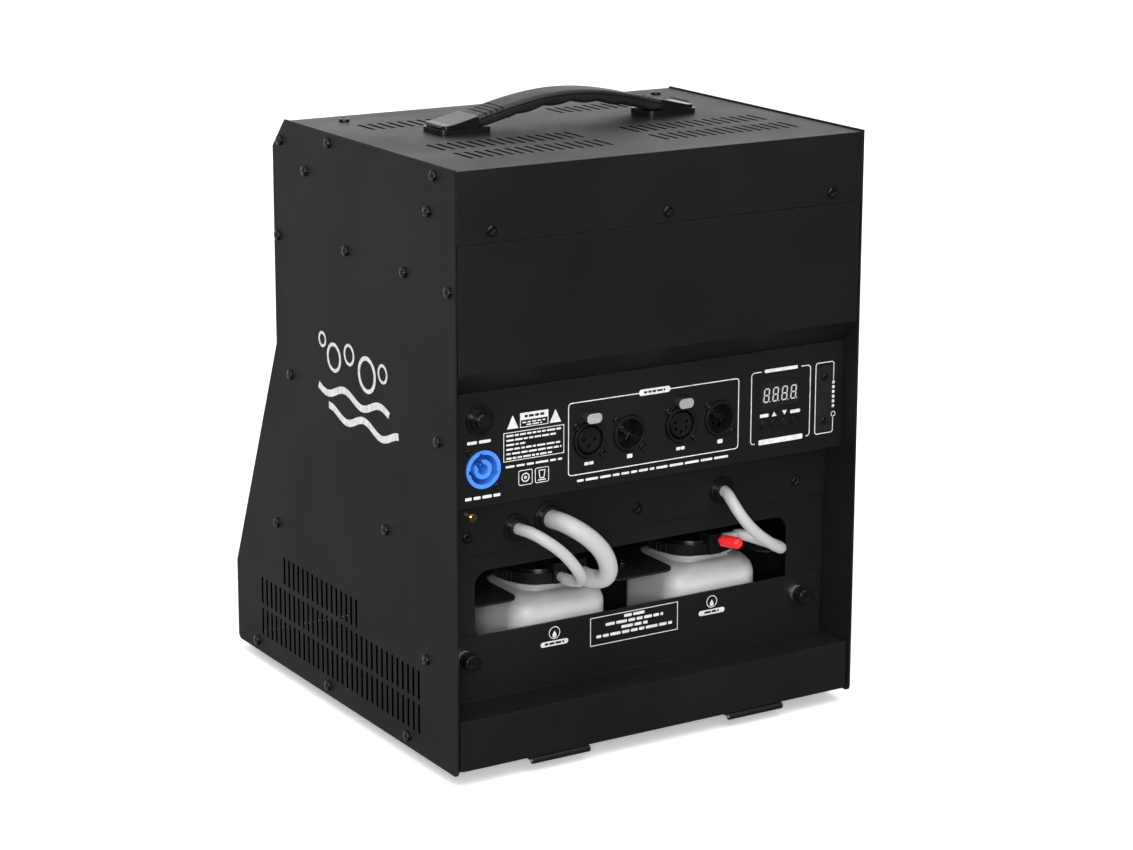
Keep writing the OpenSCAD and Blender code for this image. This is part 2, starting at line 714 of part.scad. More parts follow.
plug_dir = [0.48, -0.875];
module red_plug() color([0.85, 0.05, 0.06]) in_case()
    translate([217.6, tail_y - 0.8, 108.4]) rotate([90, 0, atan2(plug_dir[1], plug_dir[0]) + 90])
        rotate_extrude()
            polygon([
                [0, 0.5], [1.9, 0.5], [1.9, 2.6], [3.9, 2.6],
                for (a = [0:15:75]) [3.9 * cos(a), 13.2 + 3.9 * sin(a)],
                [0, 13.2 + 3.9 * sin(75)],
            ]);

module thin_hose() color(milk) in_case() tube_along(thin_route, thin_r);

module thick_hose() color(milk) in_case() tube_along(thick_route, thick_r);

module fog_hose() color(milk) in_case() tube_along(fog_route, thin_r);

// Rubber grommet with a groove that the sheet sits in
module grommet(at, bore, neck, rim) {
    y0 = hose_panel_y;
    difference() {
        union() {
            rod_y(at, y0 - 1.6, y0 - 0.02, rim);
            rod_y(at, y0 - 3.6, y0 - 1.55, bore + 2.2);
            rod_y(at, y0 - 0.03, y0 + sheet_t + 0.03, neck);
            rod_y(at, y0 + sheet_t + 0.02, y0 + sheet_t + 2.6, neck + 0.7);
        }
        rod_y(at, y0 - 4, y0 + sheet_t + 4, bore);
    }
}

module hose_grommets() color(rubber_black) in_case() {
    grommet(thin_grommet, thin_r + 0.15, 8.1, 9);
    grommet(thick_grommet, thick_r + 0.15, 10.1, 11.1);
    grommet(fog_grommet, thin_r + 0.15, 8.1, 9);
}

// Control panel pieces --------------------------------------------------

module breaker_body() color(plastic_black) in_case() {
    y0 = control_y;
    difference() {
        union() {
            rod_y(breaker_at, y0 - 2, y0 - 0.02, 9.3);
            rod_y(breaker_at, y0 - 4.4, y0 - 1.9, 7.2);
            rod_y(breaker_at, y0 - 0.1, y0 + 8, 8);
            translate([breaker_at[0] - 9, y0 + 8 - eps, breaker_at[1] - 9]) cube([18, 20, 18]);
        }
        rod_y(breaker_at, y0 - 9, y0 + 12, 5.2);
    }
}

module breaker_button() color(plastic_black) in_case() {
    rod_y(breaker_at, control_y - 6.4, control_y + 10, 4.9);
    rod_y(breaker_at, control_y - 7, control_y - 6.4 + eps, 4.3);
}

// Chassis mains inlet: an outer ring, an inner keyed ring and three contacts
module power_inlet() color([0.16, 0.42, 0.88]) in_case() {
    y0 = control_y;
    at = inlet_at;
    difference() {
        union() {
            rod_y(at, y0 - 1, y0 + 24, inlet_r);
            translate([at[0] - 13, y0 + sheet_t + 0.02, at[1] - 15.5]) cube([26, 2.4, 31]);
        }
        rod_y(at, y0 - 4, y0 + 16, 9.4);
        for (a = [100, 185, 340]) translate([at[0], y0, at[1]]) rotate([0, -a, 0])
            block([8, -4, -1.3], [10.4, 14, 1.3]);
        for (p = small_screws) rod_y(p, y0, y0 + 6, 1.3);
    }
    difference() {
        rod_y(at, y0 - 0.2, y0 + 17, 6.2);
        rod_y(at, y0 - 3, y0 + 12, 3.3);
        translate([at[0], y0, at[1]]) rotate([0, -124, 0]) block([0, -4, -2.3], [8, 12, 2.3]);
    }
    for (a = [90, 210, 330])
        translate([at[0] + 2.1 * cos(a) - 0.35, y0 + 3, at[1] + 2.1 * sin(a) - 0.8]) cube([0.7, 10, 1.6]);
}

// Shell that all four signal connectors share: a round face in the panel and a flange behind it
module xlr_shell(at, face_y, bore) {
    y0 = control_y;
    difference() {
        union() {
            rod_y(at, face_y, y0 + 20, xlr_r);
            translate([at[0] - 12.5, y0 + sheet_t + 0.02, at[1] - 13]) cube([25, 2, 26]);
        }
        rod_y(at, face_y - 1, y0 + 14, bore);
        for (p = small_screws) rod_y(p, y0, y0 + 6, 1.3);
    }
}

function contact_angles(pins) = pins == 3 ? [180, 270, 0] : [160, 215, 270, 325, 20];
function contact_r(pins) = pins == 3 ? 3.95 : 4.7;
latch_low = [-5.2, 11.7];
latch_high = [5.6, 18.1];

module xlr_socket(at, pins) color(plastic_black) in_case() {
    y0 = control_y;
    difference() {
        xlr_shell(at, y0 - 1.6, 9.6);
        translate([at[0], y0 - 4, at[1]])
            block([latch_low[0] - 0.4, 0, latch_low[1] - 0.4], [latch_high[0] + 0.4, 30, 20]);
    }
    difference() {
        rod_y(at, y0 - 0.6, y0 + 15, 8);
        for (a = contact_angles(pins))
            rod_y(at + contact_r(pins) * [cos(a), sin(a)], y0 - 2, y0 + 11, 1.25);
    }
}

module xlr_plug(at, pins) {
    color(plastic_black) in_case() xlr_shell(at, control_y - 1.2, 9.6);
    color(steel) in_case()
        for (a = contact_angles(pins))
            rod_y(at + contact_r(pins) * [cos(a), sin(a)], control_y + 2, control_y + 14 + eps, 1.1);
}

module xlr3_socket() xlr_socket(xlr3_socket_at, 3);

module xlr3_plug() xlr_plug(xlr3_plug_at, 3);

module xlr5_socket() xlr_socket(xlr5_socket_at, 5);

module xlr5_plug() xlr_plug(xlr5_plug_at, 5);

// Push tab that frees a plug from its socket
module latch(at) color([0.72, 0.73, 0.74]) in_case()
    plate_xz(control_y - 6, control_y + 3.6) rounded_2d(at + latch_low, at + latch_high, 2.9);

module xlr3_latch() latch(xlr3_socket_at);

module xlr5_latch() latch(xlr5_socket_at);

// Four-digit display behind its window, on its board
module display_module() color(plastic_black) in_case() {
    y0 = control_y;
    plate_xz(y0 + 0.35, y0 + 7) translate(display_at) square(display_size, center = true);
    difference() {
        block([226, y0 + 9, 178], [272, y0 + 10.6, 222]);
        for (x = key_xs) rod_y([x, key_z], y0 + 8, y0 + 12, 1.2);
    }
    // Stand-offs between the display and its board
    for (s = [-1, 1])
        rod_y([display_at[0] + 12 * s, display_at[1]], y0 + 6.9, y0 + 9 + eps, 2);
}

module key(x) color(plastic_black) in_case() {
    rod_y([x, key_z], control_y - 0.9, control_y + 3.2, key_r);
    rod_y([x, key_z], control_y + 3.1, control_y + 7.9, 1.6);
}

module menu_key() key(key_xs[0]);

module up_key() key(key_xs[1]);

module down_key() key(key_xs[2]);

module enter_key() key(key_xs[3]);

module wireless_module() color(plastic_black) in_case() {
    y0 = control_y;
    difference() {
        plate_xz(y0 + 0.2, y0 + 1.4) translate(module_at) square(module_size, center = true);
        for (s = [-1, 1]) rod_y([module_at[0], module_at[1] + s * module_screw_dz], y0 - 1, y0 + 2, 1.05);
    }
    translate([module_at[0] - 5, y0 + 1.4 - eps, module_at[1] - 12]) cube([10, 22.6, 24]);
}

module earth_terminal() color([0.80, 0.58, 0.25]) in_case() {
    at = [28.1, 154.9];
    rod_y(at, hose_panel_y - 3.2, hose_panel_y - 0.02, 2.9);
    rod_y(at, hose_panel_y - 4.2, hose_panel_y - 3.1, 1.9);
    rod_y(at, hose_panel_y - 0.1, hose_panel_y + 9, 2.5);
}

// Works inside the case -------------------------------------------------

module heater_block() color([0.70, 0.70, 0.72]) in_case() {
    difference() {
        block([112, 150, 118], [188, 232, 182]);
        rod_y([150, nozzle_z], 228, 236, 5);
        for (x = [126, 174]) rod_y([x, nozzle_z], 140, 240, 6);
    }
    // Feet that stand the block on the base plate
    for (x = [118, 174], y = [156, 218]) block([x, y, 1.52], [x + 8, y + 8, 118 + eps]);
}

module fog_nozzle() color([0.80, 0.62, 0.28]) in_case() {
    difference() {
        union() {
            rod_y([150, nozzle_z], 228.02, 272, 4.9);
            rod_y([150, nozzle_z], 232.02, 240, 9);
        }
        rod_y([150, nozzle_z], 226, 274, 1.6);
    }
}

// The fog pump and the bubble fluid pump, side by side on the base plate
module fluid_pumps() color([0.55, 0.56, 0.58]) in_case()
    for (x = [fog_pipe_x, bubble_pipe_x]) {
        block([x - 22, 160, 1.52], [x + 22, 200, 6]);
        rod_y([x, 27], 152, 208, 18);
        block([x - 12, 162, 5.9], [x + 12, 198, 14]);
        rod_y([x, 27], 140, 152 + eps, 5);
        rod_y([x, 27], 208 - eps, 220, 5);
    }

// Pipes from the fog pump to the heater, and from the bubble fluid pump to the tray
module fluid_pipes() color([0.75, 0.55, 0.35]) in_case() {
    translate([fog_pipe_x, pipe_y, 32.06]) cylinder(h = nozzle_z - 32.06, r = pipe_r);
    translate([fog_pipe_x, pipe_y, nozzle_z]) sphere(r = pipe_r);
    rod_x([pipe_y, nozzle_z], fog_pipe_x, 111.98, pipe_r);
    translate([bubble_pipe_x, pipe_y, 32.06]) cylinder(h = 254 - 32.06, r = pipe_r);
    translate([bubble_pipe_x, pipe_y, 254]) sphere(r = pipe_r);
    rod_x([pipe_y, 254], 202, bubble_pipe_x, pipe_r);
}

module bubble_wheel() color([0.90, 0.90, 0.85]) in_case()
    translate([wheel_at[0], wheel_at[1], wheel_at[2]]) rotate([90, 0, 0])
        difference() {
            union() {
                cylinder(h = 2.4, r = wheel_r - 2 * ring_r + 1.5, center = true);
                for (i = [0:wheel_rings - 1]) rotate([0, 0, 360 * i / wheel_rings])
                    translate([wheel_r - ring_r, 0, 0]) cylinder(h = 6, r = ring_r, center = true);
                cylinder(h = 10, r = 6, center = true);
            }
            for (i = [0:wheel_rings - 1]) rotate([0, 0, 360 * i / wheel_rings])
                translate([wheel_r - ring_r, 0, 0]) cylinder(h = 12, r = ring_r - 2, center = true);
            cylinder(h = 20, r = 2.56, center = true);
        }

// Gear motor with its shaft through the wheel's hub, on a post from the shelf
module wheel_motor() color([0.45, 0.46, 0.48]) in_case() {
    x = wheel_at[0];
    y = wheel_at[1];
    z = wheel_at[2];
    rod_y([x, z], y - 34, y - 10, 16);
    rod_y([x, z], y - 10.1, y + 8, 2.5);
    difference() {
        block([x - 14, y - 37, 204.02], [x + 14, y - 34 + eps, z + 14]);
        rod_y([x, z], y - 60, y, 4);
    }
    block([x - 14, y - 37, 204.02], [x + 14, y - 22, 206]);
}

module fan_housing() color(plastic_black) in_case()
    translate([fan_at[0], fan_at[1], fan_at[2]]) {
        difference() {
            translate([-fan_size / 2, -12, -fan_size / 2 + 0.5]) cube([fan_size, 25, fan_size - 4]);
            translate([0, 20, 0]) rotate([90, 0, 0]) cylinder(h = 40, r = fan_size / 2 - 4.5);
        }
        for (s = [-1, 1]) translate([38 * s, 0, 204.02 - fan_at[2]])
            translate([-8, -12, 0]) cube([16, 25, fan_at[2] - fan_size / 2 - 203]);
        // Spider that carries the fan's motor
        for (a = [45, 135]) rotate([0, a, 0])
            translate([-43.5, -11.6, -2]) cube([87, 2, 4]);
        translate([0, -9.3, 0]) rotate([90, 0, 0]) cylinder(h = 2.5, r = 17);
        translate([0, -3, 0]) rotate([90, 0, 0]) cylinder(h = 7, r = 2);
    }

module fan_rotor() color([0.12, 0.12, 0.13]) in_case()
    translate([fan_at[0], fan_at[1], fan_at[2]]) {
        difference() {
            translate([0, 11, 0]) rotate([90, 0, 0]) cylinder(h = 20, r = 17);
            translate([0, -2, 0]) rotate([90, 0, 0]) cylinder(h = 12, r = 2.06);
        }
        for (i = [0:6]) rotate([0, 360 * i / 7, 0]) translate([15, 0, 0]) rotate([35, 0, 0])
            translate([0, -8, -1]) cube([24, 16, 2]);
    }

// Open tray that the wheel dips its rings in
module fluid_tray() color([0.82, 0.82, 0.80]) in_case() {
    low = [88, 190, 204.02];
    high = [212, 222, 250];
    difference() {
        block(low, high);
        block(low + [2, 2, 2], high + [-2, -2, 1]);
    }
}

// Power supply and main board on the electronics tray
module circuit_boards() color([0.10, 0.35, 0.16]) in_case() {
    z = 302.02;
    for (x = [40, 168]) {
        block([x, 40, z + 6], [x + 92, 130, z + 7.6]);
        for (px = [x + 5, x + 87], py = [45, 125]) translate([px, py, z]) cylinder(h = 6 + eps, r = 2.5);
    }
    block([52, 52, z + 7.6 - eps], [92, 92, z + 40]);
    for (x = [106, 120], y = [60, 84]) translate([x, y, z + 7.6 - eps]) cylinder(h = 24, r = 6);
    block([186, 60, z + 7.6 - eps], [214, 88, z + 12]);
    for (x = [232, 246]) block([x, 104, z + 7.6 - eps], [x + 10, 118, z + 20]);
}

left_side_panel();
right_side_panel();
base_plate();
top_cover();
front_upper_panel();
front_lower_panel();
rear_upper_panel();
control_panel();
hose_panel();
bay_frame();
bottle_retainer();
electronics_tray();
mid_shelf();
rubber_feet();
case_screws();
connector_screws();
handle_grip();
handle_caps();
handle_shoes();
fluid_door();
door_hinge_leaves();
base_hinge_leaves();
hinge_pins();
thumbscrew_collars();
left_thumbscrew();
right_thumbscrew();
fluid_bottles();
bottle_caps();
hose_connectors();
red_plug();
thin_hose();
thick_hose();
fog_hose();
hose_grommets();
breaker_body();
breaker_button();
power_inlet();
xlr3_socket();
xlr3_plug();
xlr5_socket();
xlr5_plug();
xlr3_latch();
xlr5_latch();
display_module();
menu_key();
up_key();
down_key();
enter_key();
wireless_module();
earth_terminal();
heater_block();
fog_nozzle();
fluid_pumps();
fluid_pipes();
bubble_wheel();
wheel_motor();
fan_housing();
fan_rotor();
fluid_tray();
circuit_boards();
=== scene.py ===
import math
import random

import bmesh
import bpy
from mathutils import Matrix, Vector


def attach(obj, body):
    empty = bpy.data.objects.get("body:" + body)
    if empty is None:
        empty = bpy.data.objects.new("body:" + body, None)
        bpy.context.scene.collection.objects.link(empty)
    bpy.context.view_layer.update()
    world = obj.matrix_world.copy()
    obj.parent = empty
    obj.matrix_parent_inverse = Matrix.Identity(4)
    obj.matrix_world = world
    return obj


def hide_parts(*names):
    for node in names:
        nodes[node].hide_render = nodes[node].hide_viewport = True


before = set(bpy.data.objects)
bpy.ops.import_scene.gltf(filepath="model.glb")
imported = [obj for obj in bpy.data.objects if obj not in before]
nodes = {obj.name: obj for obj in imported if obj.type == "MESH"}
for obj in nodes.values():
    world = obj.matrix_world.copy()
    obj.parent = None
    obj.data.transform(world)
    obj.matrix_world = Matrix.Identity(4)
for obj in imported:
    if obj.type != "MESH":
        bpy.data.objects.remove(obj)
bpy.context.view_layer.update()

MM = 0.001
CONTROL_Y = 14.7
DOOR_Y = 31.8
TOP_Z = 377.0
BOTTLE_XS = (99.5, 217)
BOTTLE_Y = 69.6
HANDLE_AT = (154.7, 132)
HANDLE_HALF = 97
STRAP_HALF = 69.5


def case(x, y, z):
    """A point of the case, given in its own millimetres, in the shared frame's metres."""
    return Vector(((x - 150) * MM, (y - 154.5) * MM, (z + 8) * MM))


def linked(name, data):
    piece = bpy.data.objects.new(name, data)
    bpy.context.scene.collection.objects.link(piece)
    return piece


# Camera -------------------------------------------------------------------


def make_camera():
    azimuth, elevation, roll = math.radians(-32.44), math.radians(13.27), math.radians(0.37)
    back = Vector(
        (
            math.sin(azimuth) * math.cos(elevation),
            -math.cos(azimuth) * math.cos(elevation),
            math.sin(elevation),
        )
    )
    level = (-back).cross(Vector((0, 0, 1))).normalized()
    above = level.cross(-back)
    right = math.cos(roll) * level + math.sin(roll) * above
    up = -math.sin(roll) * level + math.cos(roll) * above
    data = bpy.data.cameras.new("camera")
    data.sensor_width = 36
    data.lens = 92.64
    data.shift_x = -0.0375
    data.shift_y = -0.0712
    data.clip_start = 0.05
    data.clip_end = 60
    camera = linked("camera", data)
    matrix = Matrix((right, up, back)).transposed().to_4x4()
    matrix.translation = case(-823.9, -1466.1, 670.4)
    camera.matrix_world = matrix
    bpy.context.scene.camera = camera


make_camera()


# Materials ----------------------------------------------------------------


class Paint:
    """A material with a Principled shader, and helpers that add its procedural nodes."""

    def __init__(self, name, colour, rough=0.5, metal=0.0, specular=0.5):
        self.material = bpy.data.materials.new(name)
        self.material.use_nodes = True
        self.tree = self.material.node_tree
        self.shader = self.tree.nodes["Principled BSDF"]
        self.colour = (*colour, 1)
        self.shader.inputs["Base Color"].default_value = self.colour
        self.shader.inputs["Roughness"].default_value = rough
        self.shader.inputs["Metallic"].default_value = metal
        self.shader.inputs["Specular IOR Level"].default_value = specular
        self.rough = rough
        self.place = self.node("TexCoord").outputs["Object"]
        self.normal = None

    def node(self, kind, **values):
        made = self.tree.nodes.new("ShaderNode" + kind)
        for key, value in values.items():
            if hasattr(made, key):
                setattr(made, key, value)
            else:
                made.inputs[key.replace("_", " ")].default_value = value
        return made

    def link(self, a, b):
        self.tree.links.new(a, b)

    def noise(self, scale, detail=3.0, rough=0.55, stretch=None):
        made = self.node("TexNoise")
        made.inputs["Scale"].default_value = scale
        made.inputs["Detail"].default_value = detail
        made.inputs["Roughness"].default_value = rough
        place = self.place
        if stretch:
            mapping = self.node("Mapping")
            mapping.inputs["Scale"].default_value = stretch
            self.link(place, mapping.inputs["Vector"])
            place = mapping.outputs["Vector"]
        self.link(place, made.inputs["Vector"])
        return made.outputs["Fac"]

    def span(self, value, low, high, from_low=0.3, from_high=0.7):
        made = self.node("MapRange")
        self.link(value, made.inputs["Value"])
        for key, number in (("From Min", from_low), ("From Max", from_high), ("To Min", low), ("To Max", high)):
            made.inputs[key].default_value = number
        return made.outputs["Result"]

    def mixed(self, fac, a, b):
        made = self.node("Mix", data_type="RGBA")
        self.link(fac, made.inputs["Factor"])
        for index, value in ((6, a), (7, b)):
            if isinstance(value, tuple):
                made.inputs[index].default_value = (*value[:3], 1)
            else:
                self.link(value, made.inputs[index])
        return made.outputs[2]

    def sum(self, *values, operation="ADD"):
        total = values[0]
        for value in values[1:]:
            made = self.node("Math", operation=operation)
            for index, item in enumerate((total, value)):
                if isinstance(item, (int, float)):
                    made.inputs[index].default_value = item
                else:
                    self.link(item, made.inputs[index])
            total = made.outputs[0]
        return total

    def round_edges(self, radius):
        made = self.node("Bevel")
        made.samples = 4
        made.inputs["Radius"].default_value = radius
        self.normal = made.outputs["Normal"]
        return self

    def bump(self, height, distance, strength=1.0):
        made = self.node("Bump")
        made.inputs["Distance"].default_value = distance
        made.inputs["Strength"].default_value = strength
        self.link(height, made.inputs["Height"])
        if self.normal is not None:
            self.link(self.normal, made.inputs["Normal"])
        self.normal = made.outputs["Normal"]
        return self

    def vary_rough(self, scale, low, high, detail=3.0):
        self.link(self.span(self.noise(scale, detail), low, high), self.shader.inputs["Roughness"])
        return self

    def vary_colour(self, scale, other, detail=3.0, low=0.0, high=1.0):
        fac = self.span(self.noise(scale, detail), low, high)
        out = self.mixed(fac, self.colour, other)
        self.link(out, self.shader.inputs["Base Color"])
        self.tint = out
        return self

    def edge_wear(self, radius, light, amount=0.6):
        """Lightens the outer edges, where a finish rubs through."""
        bevel = self.node("Bevel")
        bevel.samples = 4
        bevel.inputs["Radius"].default_value = radius
        flat = self.node("NewGeometry")
        dot = self.node("VectorMath", operation="DOT_PRODUCT")
        self.link(bevel.outputs["Normal"], dot.inputs[0])
        self.link(flat.outputs["Normal"], dot.inputs[1])
        edge = self.span(dot.outputs["Value"], 1.0, 0.0, 0.80, 0.995)
        patches = self.span(self.noise(120, 4), 0.15, 1.0, 0.42, 0.62)
        fac = self.sum(edge, patches, amount, operation="MULTIPLY")
        base = getattr(self, "tint", self.colour)
        out = self.mixed(fac, base, light)
        self.link(out, self.shader.inputs["Base Color"])
        self.tint = out
        return self

    def shade_slots(self, boxes):
        """Paints shade on the cut walls of vent slots, black and without reflection: where the sheet's own axis
        is level with a wall, inside a box.
        """
        place, facing = self.node("SeparateXYZ"), self.node("SeparateXYZ")
        self.link(self.place, place.inputs["Vector"])
        self.link(self.node("TexCoord").outputs["Normal"], facing.inputs["Vector"])
        total = 0.0
        for axis, middle, half in boxes:
            sideways = self.node("Math", operation="ABSOLUTE")
            self.link(facing.outputs[axis], sideways.inputs[0])
            found = self.sum(sideways.outputs[0], 0.5, operation="LESS_THAN")
            for i in range(3):
                away = self.node("Math", operation="ABSOLUTE")
                self.link(place.outputs[i], away.inputs[0])
                value = away.outputs[0] if i == 0 else place.outputs[i]
                inside = self.node("Math", operation="COMPARE")
                self.link(value, inside.inputs[0])
                inside.inputs[1].default_value = middle[i]
                inside.inputs[2].default_value = half[i]
                found = self.sum(found, inside.outputs[0], operation="MULTIPLY")
            total = self.sum(found, total, operation="MAXIMUM")
        # Painted shade: the masked slot walls are painted black and made metallic, so they reflect nothing.
        self.link(self.mixed(total, self.tint, (0.0, 0.0, 0.0)), self.shader.inputs["Base Color"])
        self.link(total, self.shader.inputs["Metallic"])
        return self

    def done(self):
        if self.normal is not None:
            self.link(self.normal, self.shader.inputs["Normal"])
        return self.material


# Where the vent slots are, for the painted shade on their walls: the axis across the sheet, then the middle and
# half size, with x measured either side
SLOT_BOXES = (
    (0, (0.1494, 0.005, 0.0535), (0.0009, 0.116, 0.036)),
    (2, (0.0, -0.044, 0.3844), (0.128, 0.078, 0.0009)),
)


def powder_coat(name="powder_coat", base=(0.0052, 0.0052, 0.0054), light=(0.0078, 0.0078, 0.0081)):
    """Satin black powder coat: a fine leathery grain, a little dust in its colour, rubbed edges, and painted
    shade on the walls of the vent slots.
    """
    m = Paint(name, base, rough=0.42, specular=0.26)
    m.vary_colour(9, light, detail=5)
    m.edge_wear(0.0007, (0.03, 0.03, 0.031), 0.5)
    m.shade_slots(SLOT_BOXES)
    m.vary_rough(14, 0.36, 0.47, detail=6)
    m.round_edges(0.0005)
    m.bump(m.sum(m.noise(1500, 2), m.noise(420, 3, 0.6)), 0.00006, 0.6)
    return m.done()


def moulded(name, base, rough, grain=1800, depth=0.00004, light=None, specular=0.45, edge=0.0004):
    m = Paint(name, base, rough=rough, specular=specular)
    m.vary_colour(30, light or tuple(c * 1.25 + 0.002 for c in base), detail=4)
    m.vary_rough(60, rough * 0.85, min(1, rough * 1.15), detail=4)
    m.round_edges(edge)
    m.bump(m.noise(grain, 2), depth, 0.5)
    return m.done()


def metal(name, base, rough, brushed=(1, 1, 1), dirt=(0.2, 0.19, 0.18), edge=0.0003):
    m = Paint(name, base, rough=rough, metal=1.0)
    m.vary_colour(55, tuple(c * 0.82 for c in base), detail=5)
    m.vary_rough(90, rough * 0.8, rough * 1.35, detail=5)
    m.round_edges(edge)
    m.bump(m.noise(900, 2, 0.6, stretch=brushed), 0.00003, 0.35)
    return m.done()


def milky(name, base, rough, through=0.25, depth=0.004):
    """Translucent plastic or silicone that light scatters in."""
    m = Paint(name, base, rough=rough, specular=0.4)
    m.vary_colour(20, tuple(c * 0.93 for c in base), detail=3)
    m.vary_rough(70, rough * 0.85, rough * 1.2)
    m.shader.inputs["Subsurface Weight"].default_value = through
    m.shader.inputs["Subsurface Radius"].default_value = (1.0, 0.95, 0.9)
    m.shader.inputs["Subsurface Scale"].default_value = depth
    m.bump(m.noise(260, 3), 0.0001, 0.25)
    return m.done()


def bottle_plastic():
    """Blow-moulded bottle, with painted shade: above a wavy height the upper shoulder and neck are painted greyer
    than the wall below, as the shade that falls on them.
    """
    m = Paint("bottle_plastic", (0.70, 0.70, 0.69), rough=0.38, specular=0.4)
    split = m.node("SeparateXYZ")
    m.link(m.place, split.inputs["Vector"])
    wavy = m.sum(split.outputs["Z"], m.sum(m.noise(14, 3), 0.004, operation="MULTIPLY"))
    # Painted shade: above this wavy height the plastic is painted a darker grey.
    level = m.span(wavy, 0.0, 1.0, 0.091, 0.0985)
    tinted = m.mixed(level, (0.46, 0.46, 0.452), (0.25, 0.25, 0.245))
    clouded = m.mixed(m.span(m.noise(35, 4), 0.0, 0.5), tinted, (0.37, 0.37, 0.362))
    m.link(clouded, m.shader.inputs["Base Color"])
    m.vary_rough(60, 0.32, 0.46)
    m.shader.inputs["Subsurface Weight"].default_value = 0.35
    m.shader.inputs["Subsurface Radius"].default_value = (1.0, 0.97, 0.92)
    m.shader.inputs["Subsurface Scale"].default_value = 0.006
    m.bump(m.sum(m.noise(120, 3), m.noise(900, 2)), 0.00012, 0.35)
    return m.done()


def screen_print():
    m = Paint("screen_print", (0.62, 0.62, 0.61), rough=0.55, specular=0.3)
    m.vary_colour(260, (0.42, 0.42, 0.41), detail=4)
    m.bump(m.noise(1500, 2), 0.00002, 0.4)
    return m.done()


def tab_plastic():
    """Push tab: a pale face worn a little by fingers; its sides are painted near black by the way they face,
    partly a dark stem and partly painted shade.
    """
    m = Paint("grey_tab", (0.27, 0.27, 0.27), rough=0.4)
    m.vary_colour(60, (0.21, 0.21, 0.21), detail=4)
    split = m.node("SeparateXYZ")
    m.link(m.node("TexCoord").outputs["Normal"], split.inputs["Vector"])
    # Partly painted shade: faces that don't look to the rear are painted near black, and the rest stands for a
    # dark stem.
    face = m.span(split.outputs["Y"], 1.0, 0.0, -0.75, -0.35)
    m.link(m.mixed(face, (0.02, 0.02, 0.02), m.tint), m.shader.inputs["Base Color"])
    m.round_edges(0.0006)
    m.bump(m.noise(1800, 2), 0.00003, 0.5)
    return m.done()


def rubber(name="black_rubber", base=(0.006, 0.006, 0.006)):
    m = Paint(name, base, rough=0.62, specular=0.35)
    m.vary_colour(80, (0.012, 0.012, 0.0115), detail=5)
    m.vary_rough(120, 0.5, 0.72)
    m.round_edges(0.0006)
    m.bump(m.noise(1300, 3), 0.00005, 0.5)
    return m.done()


COAT = powder_coat()
SCREW = moulded("screw_finish", (0.002, 0.002, 0.0022), 0.15, depth=0.00001, specular=0.6, edge=0.0011)
GRAIN = moulded("grained_plastic", (0.008, 0.008, 0.0085), 0.42, depth=0.00006, specular=0.38)
BLACK = moulded("black_nylon", (0.003, 0.003, 0.0032), 0.24, depth=0.00002, specular=0.5)
GLOSS = moulded("gloss_plastic", (0.005, 0.005, 0.0054), 0.14, depth=0.00001, specular=0.55, edge=0.0006)
RUBBER = rubber()
STEEL = metal("zinc_plate", (0.66, 0.67, 0.68), 0.34)
BRIGHT = metal("bright_zinc", (0.92, 0.93, 0.95), 0.42)
BRASS = metal("turned_brass", (0.80, 0.55, 0.24), 0.24)
COPPER = metal("drawn_copper", (0.78, 0.42, 0.26), 0.25)
CAST = metal("cast_aluminium", (0.55, 0.55, 0.56), 0.45)
SHELL = metal("motor_shell", (0.36, 0.37, 0.38), 0.32, brushed=(1, 12, 1))
BOTTLE = bottle_plastic()
HOSE = milky("milky_silicone", (0.36, 0.36, 0.355), 0.36, 0.3, 0.003)
CLEAR = milky("milky_fitting", (0.34, 0.345, 0.35), 0.3, 0.3, 0.002)
PRINT = screen_print()
RED = moulded("red_vinyl", (0.62, 0.008, 0.014), 0.25, depth=0.00001, light=(0.72, 0.02, 0.02), specular=0.6)
BLUE = moulded("blue_nylon", (0.035, 0.16, 0.62), 0.3, depth=0.00002, light=(0.05, 0.22, 0.72))
TAB = tab_plastic()
SOCKET = moulded("socket_black", (0.004, 0.0037, 0.0037), 0.36, depth=0.00002, specular=0.36, edge=0.0006)
WINDOW = moulded("tinted_window", (0.008, 0.007, 0.008), 0.12, depth=0.00001, specular=0.5)
WHITE = moulded("white_nylon", (0.62, 0.62, 0.57), 0.38, light=(0.68, 0.68, 0.63))
TRAY = moulded("grey_tray", (0.45, 0.45, 0.43), 0.4)
BOARD = moulded("solder_mask", (0.012, 0.11, 0.035), 0.3, grain=700, light=(0.02, 0.15, 0.05))

FINISHES = {
    COAT: "left_side_panel right_side_panel base_plate top_cover front_upper_panel front_lower_panel "
    "rear_upper_panel control_panel hose_panel bay_frame bottle_retainer electronics_tray mid_shelf "
    "fluid_door door_hinge_leaves base_hinge_leaves",
    SCREW: "case_screws connector_screws",
    RUBBER: "rubber_feet",
    GRAIN: "handle_grip wireless_module fan_housing fan_rotor",
    BLACK: "bottle_caps breaker_body left_thumbscrew right_thumbscrew hose_grommets",
    GLOSS: "handle_caps handle_shoes breaker_button menu_key up_key down_key enter_key",
    STEEL: "hinge_pins",
    BRIGHT: "thumbscrew_collars",
    BOTTLE: "fluid_bottles",
    CLEAR: "hose_connectors",
    RED: "red_plug",
    HOSE: "thin_hose thick_hose fog_hose",
    BLUE: "power_inlet",
    SOCKET: "xlr3_socket xlr3_plug xlr5_socket xlr5_plug",
    TAB: "xlr3_latch xlr5_latch",
    WINDOW: "display_module",
    BRASS: "earth_terminal fog_nozzle",
    CAST: "heater_block",
    SHELL: "fluid_pumps wheel_motor",
    COPPER: "fluid_pipes",
    WHITE: "bubble_wheel",
    TRAY: "fluid_tray",
    BOARD: "circuit_boards",
}
for finish, names in FINISHES.items():
    for name in names.split():
        for place in nodes[name].material_slots:
            place.material = finish


# Hoses --------------------------------------------------------------------

